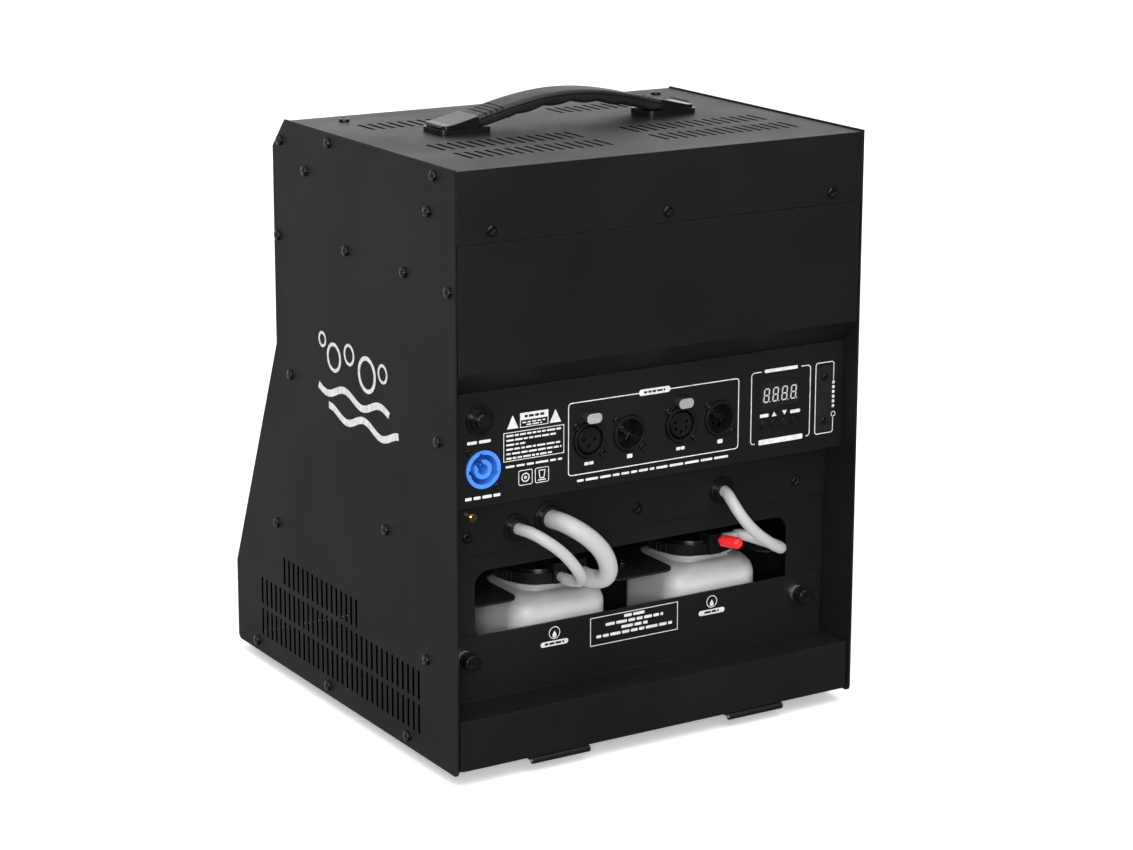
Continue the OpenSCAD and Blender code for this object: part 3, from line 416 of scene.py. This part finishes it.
THIN_ROUTE = [
    (60.5, 33, 143), (60.5, 28.5, 143), (61.5, 23.5, 143), (63.5, 19, 142.3),
    (66.5, 15, 140.5), (70.3, 12.2, 137.7), (74.4, 10.2, 134.5), (78.4, 9, 131),
    (82.2, 8.5, 127.3), (85.8, 8.5, 123.4), (89.2, 9, 119.4), (92.4, 10, 115.4),
    (95.4, 11.8, 111.5), (97.8, 14.6, 108), (99.2, 18.5, 105.3), (99, 23, 103.9),
    (98, 27, 103.4), (97.2, 30.4, 103.2), (97.2, 33, 103.2),
]
THICK_ROUTE = [
    (85, 33, 145.5), (85, 28.5, 145.5), (86, 23.5, 145.4), (88, 18.8, 144.6),
    (91, 15.2, 142.8), (94.8, 12.6, 140.2), (98.8, 10.7, 137), (102.8, 9.5, 133.4),
    (106.5, 9, 129.4), (109.8, 9, 125.2), (112.6, 9.4, 120.6), (114.8, 10.4, 115.8),
    (116.2, 12.2, 111), (116.4, 15.2, 106.6), (115.4, 19.4, 103.8), (113.6, 23.6, 102.7),
    (111.6, 27.4, 102.8), (110.5, 30.4, 103.2), (110.5, 33, 103.2),
]
FOG_ROUTE = [
    (215.5, 33, 144), (215.5, 28.5, 144), (214.9, 23.5, 143), (214.6, 18.8, 140.2),
    (215.8, 14.8, 135.6), (218.4, 12.2, 130.4), (222, 10.8, 125.4), (226.2, 10, 120.8),
    (230.8, 9.8, 116.6), (235.8, 10, 112.8), (240.8, 10.6, 109.4), (245.8, 11.8, 106.4),
    (250.4, 14, 103.9), (253.4, 17.8, 102.8), (253.6, 22.6, 102.9), (251.2, 27.4, 103.8),
    (247.4, 31.8, 105.2), (243, 35.6, 106.8), (239.2, 38.4, 108), (236, 40, 108.6), (233.2, 40, 108.6),
]


def smooth(points, steps=6):
    """Points on a Catmull-Rom curve through the given ones."""
    ends = [2 * points[0] - points[1], *points, 2 * points[-1] - points[-2]]
    line = []
    for i in range(1, len(ends) - 2):
        p0, p1, p2, p3 = ends[i - 1 : i + 3]
        for k in range(steps):
            t = k / steps
            square = (2 * p0 - 5 * p1 + 4 * p2 - p3) * t**2
            cube = (3 * p1 - p0 - 3 * p2 + p3) * t**3
            line.append(0.5 * (2 * p1 + (p2 - p0) * t + square + cube))
    line.append(points[-1])
    return line


def hose(name, route, diameter):
    line = smooth([case(*p) for p in route])
    data = bpy.data.curves.new(name, "CURVE")
    data.dimensions = "3D"
    data.bevel_depth = diameter / 2
    data.bevel_resolution = 7
    data.use_fill_caps = True
    spline = data.splines.new("POLY")
    spline.points.add(len(line) - 1)
    for point, place in zip(spline.points, line):
        point.co = (*place, 1)
    spline.use_smooth = True
    data.materials.append(HOSE)
    piece = linked(name + "_tube", data)
    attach(piece, "case")
    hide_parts(name)


hose("thin_hose", THIN_ROUTE, 0.0075)
hose("thick_hose", THICK_ROUTE, 0.012)
hose("fog_hose", FOG_ROUTE, 0.0075)


# Mesh helpers -------------------------------------------------------------


def finish_mesh(name, bm, material, body, smooth_angle=None):
    bmesh.ops.remove_doubles(bm, verts=bm.verts, dist=1e-7)
    bmesh.ops.recalc_face_normals(bm, faces=bm.faces)
    data = bpy.data.meshes.new(name)
    bm.to_mesh(data)
    bm.free()
    data.materials.append(material)
    piece = linked(name, data)
    if smooth_angle is not None:
        data.polygons.foreach_set("use_smooth", [True] * len(data.polygons))
        data.set_sharp_from_angle(angle=math.radians(smooth_angle))
    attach(piece, body)
    return piece


def on_rear(y):
    """Maps (across, up, out) to a face that looks to the rear at this y."""
    return lambda u, v, w: case(u, y - w, v)


def on_left(x):
    return lambda u, v, w: case(x - w, u, v)


def on_right(x):
    return lambda u, v, w: case(x + w, u, v)


def rounded(u0, v0, u1, v1, r, n=5):
    corners = ((u1 - r, v0 + r, -90), (u1 - r, v1 - r, 0), (u0 + r, v1 - r, 90), (u0 + r, v0 + r, 180))
    return [
        (cu + r * math.cos(math.radians(start + 90 * k / n)), cv + r * math.sin(math.radians(start + 90 * k / n)))
        for cu, cv, start in corners
        for k in range(n + 1)
    ]


def disc(u, v, r, n=28):
    return [(u + r * math.cos(2 * math.pi * k / n), v + r * math.sin(2 * math.pi * k / n)) for k in range(n)]


def prism(bm, outline, place, thick, low=0.0):
    """A closed plate with this outline, standing from low to low + thick above the face."""
    bottom = [bm.verts.new(place(u, v, low)) for u, v in outline]
    top = [bm.verts.new(place(u, v, low + thick)) for u, v in outline]
    bm.faces.new(bottom[::-1])
    bm.faces.new(top)
    for i in range(len(outline)):
        j = (i + 1) % len(outline)
        bm.faces.new((bottom[i], bottom[j], top[j], top[i]))


def stroke(bm, line, width, place, thick, closed=False, low=0.0):
    """A closed strip of this width along a line of points."""
    count = len(line)
    sides = []
    for i in range(count):
        before = Vector(line[i - 1]) if closed or i else None
        here = Vector(line[i])
        after = Vector(line[(i + 1) % count]) if closed or i < count - 1 else None
        a = (here - before).normalized() if before is not None else None
        b = (after - here).normalized() if after is not None else None
        if a is None:
            a = b
        if b is None:
            b = a
        mid = (a + b).normalized()
        across = Vector((-mid.y, mid.x)) * (width / 2 / max(0.35, mid.dot(a)))
        sides.append((here + across, here - across))
    rings = []
    for left, right in sides:
        rings.append(
            [
                bm.verts.new(place(left.x, left.y, low)),
                bm.verts.new(place(right.x, right.y, low)),
                bm.verts.new(place(right.x, right.y, low + thick)),
                bm.verts.new(place(left.x, left.y, low + thick)),
            ]
        )
    pairs = list(zip(rings, rings[1:])) + ([(rings[-1], rings[0])] if closed else [])
    for a, b in pairs:
        for k in range(4):
            bm.faces.new((a[k], a[(k + 1) % 4], b[(k + 1) % 4], b[k]))
    if not closed:
        bm.faces.new(rings[0][::-1])
        bm.faces.new(rings[-1])


INK = 0.05
chance = random.Random(4)


def words(bm, u0, u1, v, height, place, word=(2.0, 5.0), gap=0.9):
    """A line of plain dashes, each as long as a short word."""
    u = u0
    while u < u1 - 0.6:
        end = min(u1, u + chance.uniform(*word))
        prism(bm, rounded(u, v - height / 2, end, v + height / 2, min(height, end - u) * 0.22, 2), place, INK)
        u = end + gap


# Printing on the control panel ---------------------------------------------


def control_panel_print():
    bm = bmesh.new()
    at = on_rear(CONTROL_Y)
    # Two filled triangles with a plate between them
    for u0, u1 in ((44.1, 52.2), (74.5, 82.7)):
        prism(bm, [(u0, 212.1), (u1, 212.1), ((u0 + u1) / 2, 220.5)], at, INK)
    prism(bm, [(53.4, 216.6), (73.5, 216.6), (73.5, 221.1), (53.4, 221.1)], at, INK)
    stroke(bm, [(53.6, 216.6), (53.6, 212.1), (73.3, 212.1), (73.3, 216.6)], 0.45, at, INK)
    words(bm, 55.0, 72.2, 215.0, 0.8, at)
    words(bm, 58.0, 69.0, 213.4, 0.8, at)
    # Framed notes
    stroke(bm, [(41.8, 191.9), (84.7, 191.9), (84.7, 209.8), (41.8, 209.8)], 0.45, at, INK, closed=True)
    for i, last in enumerate((82.6, 79, 57, 82, 83, 76.5)):
        words(bm, 43.6, last, 207.8 - i * 2.85, 1.15, at, word=(1.8, 6.2))
    words(bm, 43.2, 83.5, 188.3, 1.3, at, word=(3.0, 9.0), gap=1.4)
    # Two small framed marks
    for u0, inner in ((52.4, 0), (64.2, 1)):
        stroke(bm, rounded(u0, 175.4, u0 + 9.6, 184.7, 1.0, 3), 0.45, at, INK, closed=True)
        if inner:
            bin_shape = [(u0 + 2.6, 183.0), (u0 + 7.0, 183.0), (u0 + 6.2, 178.2), (u0 + 3.4, 178.2)]
            stroke(bm, bin_shape, 0.6, at, INK, closed=True)
            prism(bm, [(u0 + 2.0, 176.6), (u0 + 7.6, 176.6), (u0 + 7.6, 177.3), (u0 + 2.0, 177.3)], at, INK)
        else:
            stroke(bm, disc(u0 + 4.8, 180.05, 2.6, 20), 0.7, at, INK, closed=True)
            prism(bm, disc(u0 + 4.8, 180.05, 1.0, 12), at, INK)
    # Labels of the breaker and the mains inlet
    words(bm, 16.2, 32.6, 206.9, 1.9, at, word=(6, 9.5), gap=1.6)
    words(bm, 14.6, 40.2, 171.9, 1.9, at, word=(3.5, 7.5), gap=1.3)
    # Frame round the signal connectors, with its tag
    stroke(bm, rounded(88.1, 176.2, 215.8, 222.4, 2.2, 5), 0.6, at, INK, closed=True)
    prism(bm, rounded(139.8, 220.5, 163.3, 224.5, 1.9, 6), at, 0.08, 0.0)
    for u in (103.0, 171.4):
        words(bm, u - 3.2, u + 3.4, 182.4, 2.0, at, word=(3.0, 3.2), gap=0.4)
    for u in (133.2, 201.8):
        prism(bm, rounded(u - 2.0, 181.5, u + 2.0, 184.1, 0.5, 3), at, INK)
    words(bm, 94.4, 209.3, 172.1, 1.5, at, word=(3, 11), gap=1.5)
    # Frame round the display, open at the top and the foot
    for side in (
        [(233.5, 224.2), (227.4, 224.2), (225.8, 222.8), (225.8, 178.4), (226.8, 177.0), (229.0, 176.9)],
        [(265.0, 224.2), (270.8, 224.2), (272.4, 222.8), (272.4, 178.4), (271.2, 177.0), (269.5, 176.9)],
    ):
        stroke(bm, side, 0.6, at, INK)
    words(bm, 236.0, 262.5, 224.3, 2.2, at, word=(26, 27))
    words(bm, 232.0, 267.0, 177.3, 3.4, at, word=(35, 36))
    words(bm, 232.8, 239.6, 194.9, 2.2, at, word=(6, 7))
    words(bm, 256.8, 264.6, 194.9, 2.2, at, word=(7, 8))
    prism(bm, [(242.0, 193.6), (245.9, 193.6), (243.95, 196.6)], at, INK)
    prism(bm, [(250.3, 196.6), (252.25, 193.6), (254.2, 196.6)], at, INK)
    # Frame round the radio module, open for its mark
    stroke(bm, [(291.2, 212.0), (291.2, 223.2), (290.0, 224.4), (278.0, 224.4), (276.8, 223.2), (276.8, 178.0),
                (278.0, 176.8), (290.0, 176.8), (291.2, 178.0), (291.2, 186.5)], 0.6, at, INK)
    for i in range(6):
        prism(bm, rounded(290.2, 209.4 - i * 3.2, 292.2, 211.4 - i * 3.2, 0.4, 2), at, INK)
    stroke(bm, disc(291.4, 188.9, 1.6, 18), 0.5, at, INK, closed=True)
    finish_mesh("control_panel_print", bm, PRINT, "case")


def seven_segments(bm, u, v, w, h, at):
    """One unlit digit: seven outlined bars and a point."""
    lean = 0.09
    t = w * 0.2

    def slanted(points):
        return [(u + a + lean * b, v + b) for a, b in points]

    gap = t * 0.18
    for y in (0, h / 2, h):
        half = t / 2
        y = min(max(y, half), h - half)
        left, right = t + gap, w - t - gap
        prism(bm, slanted([(left - t * 0.4, y), (left, y - half), (right, y - half), (right + t * 0.4, y),
                           (right, y + half), (left, y + half)]), at, INK)
    for x in (0, w):
        x = min(max(x, t / 2), w - t / 2)
        for y0, y1 in ((t / 2 + gap, h / 2 - gap), (h / 2 + gap, h - t / 2 - gap)):
            prism(bm, slanted([(x, y0), (x + t / 2, y0 + t / 2), (x + t / 2, y1 - t / 2), (x, y1),
                               (x - t / 2, y1 - t / 2), (x - t / 2, y0 + t / 2)]), at, INK)
    prism(bm, disc(u + w + t * 0.75, v + t * 0.4, t * 0.45, 12), at, INK)


def display_digits():
    bm = bmesh.new()
    at = on_rear(CONTROL_Y + 0.35)
    for i in range(4):
        seven_segments(bm, 235.3 + i * 7.1, 203.2, 4.7, 9.6, at)
    glow = Paint("unlit_segments", (0.42, 0.42, 0.40), rough=0.4, specular=0.4)
    glow.vary_colour(500, (0.32, 0.32, 0.31))
    finish_mesh("display_digits", bm, glow.done(), "case")


def plug_pins():
    """Gilt sleeves over the contacts of the two plugs."""
    bm = bmesh.new()
    for u, v, r, angles in ((132.9, 197.5, 3.95, (180, 270, 0)), (201.6, 198, 4.7, (160, 215, 270, 325, 20))):
        for angle in angles:
            a = math.radians(angle)
            prism(bm, disc(u + r * math.cos(a), v + r * math.sin(a), 1.13, 16), on_rear(CONTROL_Y), 11.8, -13.8)
    finish_mesh("plug_pins", bm, BRASS, "case", 40)


def door_print():
    bm = bmesh.new()
    at = on_rear(DOOR_Y)
    for u in (88.7, 209.1):
        stroke(bm, disc(u, 69.2, 3.9, 32), 0.5, at, INK, closed=True)
        angles = [math.radians(10 * k) for k in range(1, 36)]
        drop = [(u + 1.9 * math.sin(a) * math.sin(a / 2), 68.7 - 2.3 * math.cos(a)) for a in angles]
        prism(bm, [(p, 136.9 - q) for p, q in drop], at, INK)
        prism(bm, rounded(u - 10.2, 60.6, u + 10.2, 64.0, 1.6, 6), at, INK)
    stroke(bm, [(115.6, 55.0), (182.2, 55.0), (182.2, 73.6), (115.6, 73.6)], 0.5, at, INK, closed=True)
    for v, half in ((71.3, 8), (67.7, 22), (64.1, 10), (60.5, 29)):
        words(bm, 149 - half, 149 + half, v, 1.9, at, word=(3.5, 9.0), gap=1.2)
    finish_mesh("door_print", bm, PRINT, "door")


def tag_marks():
    """Dark dashes on the white tags."""
    for name, at, body, rows in (
        ("panel_tag_marks", on_rear(CONTROL_Y), "case", ((143.5, 159.5, 222.5, 1.4, 0.081),)),
        ("panel_plate_marks", on_rear(CONTROL_Y), "case", ((56.5, 70.5, 218.8, 1.6, 0.051),)),
        (
            "door_tag_marks", on_rear(DOOR_Y), "door",
            ((81.5, 95.9, 62.3, 1.5, 0.051), (203.4, 214.8, 62.3, 1.5, 0.051)),
        ),
    ):
        bm = bmesh.new()
        for u0, u1, v, height, low in rows:
            u = u0
            while u < u1 - 0.8:
                end = min(u1, u + chance.uniform(2.2, 5.0))
                foot, head = v - height / 2, v + height / 2
                prism(bm, [(u, foot), (end, foot), (end, head), (u, head)], at, 0.02, low)
                u = end + 0.8
        finish_mesh(name, bm, COAT, body)


def side_marks():
    """A plain row of bubbles over two curls of fog, on both sides."""
    for name, at in (("left_side_mark", on_left(0)), ("right_side_mark", on_right(300))):
        bm = bmesh.new()
        for u, v, r, w in (
            (174, 242, 4.4, 1.8), (158, 233, 8.6, 2.4), (137, 239, 6.2, 2.0),
            (113, 231, 10.6, 2.8), (92, 236, 5.4, 1.9),
        ):
            stroke(bm, disc(u, v, r, 40), w, at, INK, closed=True)
        for i, (u0, u1, v) in enumerate(((84, 180, 211), (72, 166, 197))):
            count = 48
            line = [
                (u0 + (u1 - u0) * k / count, v + 3.2 * math.sin(math.radians(720 * k / count + 100 * i)))
                for k in range(count + 1)
            ]
            stroke(bm, line, 4.6, at, INK)
        finish_mesh(name, bm, PRINT, "case")


control_panel_print()
display_digits()
plug_pins()
door_print()
tag_marks()
side_marks()


# Bottles ------------------------------------------------------------------


def bottle_ring(x, half_w, half_d, r, z, n=8):
    outline = rounded(x - half_w, BOTTLE_Y - half_d, x + half_w, BOTTLE_Y + half_d, r, n)
    return [case(u, v, z) for u, v in outline]


def loft(bm, rings):
    """A closed skin over rings of points."""
    made = [[bm.verts.new(p) for p in ring] for ring in rings]
    for a, b in zip(made, made[1:]):
        for i in range(len(a)):
            j = (i + 1) % len(a)
            bm.faces.new((a[i], a[j], b[j], b[i]))
    bm.faces.new(made[0][::-1])
    bm.faces.new(made[-1])


def bottles():
    bm = bmesh.new()
    n = 8
    half_w, half_d, corner = 35, 33, 14
    for x in BOTTLE_XS:
        rings = [
            bottle_ring(x, half_w - inset, half_d - inset, corner - inset, z, n)
            for inset, z in ((4, 1.8), (1.2, 2.8), (0, 5.5), (0, 30), (0, 60), (0, 80))
        ]
        # The shoulder turns from a rounded square into the round neck
        start = rounded(-half_w, -half_d, half_w, half_d, corner, n)
        for k in range(1, 9):
            a = math.radians(90 * k / 8)
            rise = math.sin(a)
            blend = 1 - math.cos(a)
            ring = []
            for u, v in start:
                angle = math.atan2(v, u)
                round_u, round_v = 28.5 * math.cos(angle), 28.5 * math.sin(angle)
                across, deep = u + (round_u - u) * blend, v + (round_v - v) * blend
                ring.append(case(x + across, BOTTLE_Y + deep, 80 + 12.6 * rise))
            rings.append(ring)
        turns = [math.atan2(v, u) for u, v in start]
        for r, z in (
            (26.4, 92.9), (26.0, 93.6), (26.0, 95.6), (28.2, 95.9), (28.2, 97.2), (26.0, 97.5), (26.0, 99),
        ):
            rings.append([case(x + r * math.cos(a), BOTTLE_Y + r * math.sin(a), z) for a in turns])
        loft(bm, rings)
    piece = finish_mesh("bottle_bodies", bm, BOTTLE, "case", 50)
    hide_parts("fluid_bottles")


bottles()


# Handle -------------------------------------------------------------------


def arch_z(x):
    return 3.7 + 10.1 * math.cos(math.radians(90 * min(1, abs(x) / 62)))


def finger_z(x):
    return 1.6 * abs(math.sin(math.radians(180 * (x + 42) / 21))) - 0.8 if abs(x) < 42 else 0


def grip_top_z(x):
    return 4.5 + 17.3 * max(0.0, math.cos(math.radians(90 * min(1, abs(x) / HANDLE_HALF)))) ** 1.3


def handle_grip():
    """The strap: flat on top with a creased edge along both sides, and cross grooves near its ends."""
    bm = bmesh.new()
    rings = []
    steps = 278
    for i in range(steps + 1):
        x = -STRAP_HALF + 2 * STRAP_HALF * i / steps
        low, high = arch_z(x) - finger_z(x), grip_top_z(x)
        groove = 1.1 if 51 < abs(x) < 67.5 and (abs(x) - 51) % 4.1 < 1.1 else 0.0
        crease = high - 2.9
        outline = [
            (-10.4, low), (10.4, low), (12.0, low + 0.6), (12.9, low + 2.0), (12.9, crease - 0.5),
            (12.2, crease - 0.1), (12.2, crease + 0.3), (12.9, crease + 0.7), (12.7, crease + 1.5),
            (12.0, crease + 2.3 - groove),
            (10.6, high - 0.12 - groove), (8, high - groove), (0, high - groove),
        ]
        outline += [(-u, v) for u, v in outline[-2:1:-1]]
        rings.append([case(HANDLE_AT[0] + x, HANDLE_AT[1] + u, TOP_Z + v) for u, v in outline])
    loft(bm, rings)
    piece = finish_mesh("handle_strap", bm, GRAIN, "case", 32)
    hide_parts("handle_grip")


handle_grip()


def side_panel_folds():
    """Folded edges of the side panels, which close the gaps beside the large rear sheet."""
    bm = bmesh.new()
    leg = ((1.3, 1.3), (2.1, 1.3), (2.1, 12), (1.3, 12))
    angle = ((1.3, 1.3), (8, 1.3), (8, 2.3), (2.1, 2.3), (2.1, 12), (1.3, 12))
    for side in (-1, 1):
        for outline, z0, z1 in ((angle, 255.5, 296), (angle, 312, 330), (leg, 330.1, 332.4)):
            loft(bm, [[case(150 + side * (150 - x), y, z) for x, y in outline] for z in (z0, z1)])
    finish_mesh("side_panel_folds", bm, COAT, "case")


side_panel_folds()


# Stage --------------------------------------------------------------------


def make_stage():
    bm = bmesh.new()
    bmesh.ops.create_grid(bm, x_segments=1, y_segments=1, size=7)
    data = bpy.data.meshes.new("floor")
    bm.to_mesh(data)
    bm.free()
    floor = linked("floor", data)
    paper = Paint("paper_floor", (0.86, 0.86, 0.86), rough=0.9, specular=0.1)
    paper.vary_colour(3, (0.84, 0.84, 0.84))
    paper.shader.inputs["Emission Color"].default_value = (1, 1, 1, 1)
    paper.shader.inputs["Emission Strength"].default_value = 0.3
    data.materials.append(paper.done())
    floor.visible_glossy = False


def area_light(name, place, target, size, power):
    data = bpy.data.lights.new(name, "AREA")
    data.shape = "RECTANGLE"
    data.size, data.size_y = size
    data.energy = power
    light = linked(name, data)
    direction = Vector(target) - Vector(place)
    light.rotation_mode = "QUATERNION"
    light.rotation_quaternion = direction.to_track_quat("-Z", "Y")
    light.location = place


def sun_light(name, place, power, angle):
    data = bpy.data.lights.new(name, "SUN")
    data.energy = power
    data.angle = math.radians(angle)
    light = linked(name, data)
    light.rotation_mode = "QUATERNION"
    light.rotation_quaternion = (-Vector(place)).to_track_quat("-Z", "Y")


def make_world():
    """White paper for the eye; what the object reflects is a dim studio with two brighter sides."""
    world = bpy.data.worlds.new("studio")
    bpy.context.scene.world = world
    world.use_nodes = True
    tree = world.node_tree

    def node(kind):
        return tree.nodes.new("ShaderNode" + kind)

    place = node("TexCoord")
    glow = 0.05
    for towards, start, full, strength in (
        ((0.45, 0.86, 0.24), 0.45, 0.95, 0.98),
        ((-0.52, 0.82, -0.23), 0.62, 0.98, 0.22),
    ):
        dot = node("VectorMath")
        dot.operation = "DOT_PRODUCT"
        dot.inputs[1].default_value = Vector(towards).normalized()
        tree.links.new(place.outputs["Generated"], dot.inputs[0])
        lobe = node("MapRange")
        lobe.interpolation_type = "SMOOTHSTEP"
        tree.links.new(dot.outputs["Value"], lobe.inputs["Value"])
        for key, number in (("From Min", start), ("From Max", full), ("To Min", 0.0), ("To Max", strength)):
            lobe.inputs[key].default_value = number
        add = node("Math")
        if isinstance(glow, float):
            add.inputs[1].default_value = glow
        else:
            tree.links.new(glow, add.inputs[1])
        tree.links.new(lobe.outputs["Result"], add.inputs[0])
        glow = add.outputs[0]
    light = tree.nodes["Background"]
    tree.links.new(glow, light.inputs["Strength"])
    light.inputs["Color"].default_value = (1, 1, 1, 1)
    paper = node("Background")
    paper.inputs["Color"].default_value = (1, 1, 1, 1)
    path = node("LightPath")
    mix = node("MixShader")
    tree.links.new(path.outputs["Is Camera Ray"], mix.inputs["Fac"])
    tree.links.new(light.outputs["Background"], mix.inputs[1])
    tree.links.new(paper.outputs["Background"], mix.inputs[2])
    tree.links.new(mix.outputs["Shader"], tree.nodes["World Output"].inputs["Surface"])


make_stage()
make_world()
sun_light("soft_sun", (-0.25, -0.55, 1.5), 3.3, 70)
area_light("left_box", (-2.2, -0.3, 1.0), (0, 0, 0.2), (1.2, 1.6), 6)
area_light("rear_fill", (0.2, -2.6, 1.2), (0, 0, 0.15), (1.6, 1.2), 8)
area_light("front_fill", (-1.2, -1.95, 0.72), (0, 0, 0.14), (0.6, 0.6), 38)

scene = bpy.context.scene
scene.view_settings.view_transform = "Standard"
scene.view_settings.look = "None"
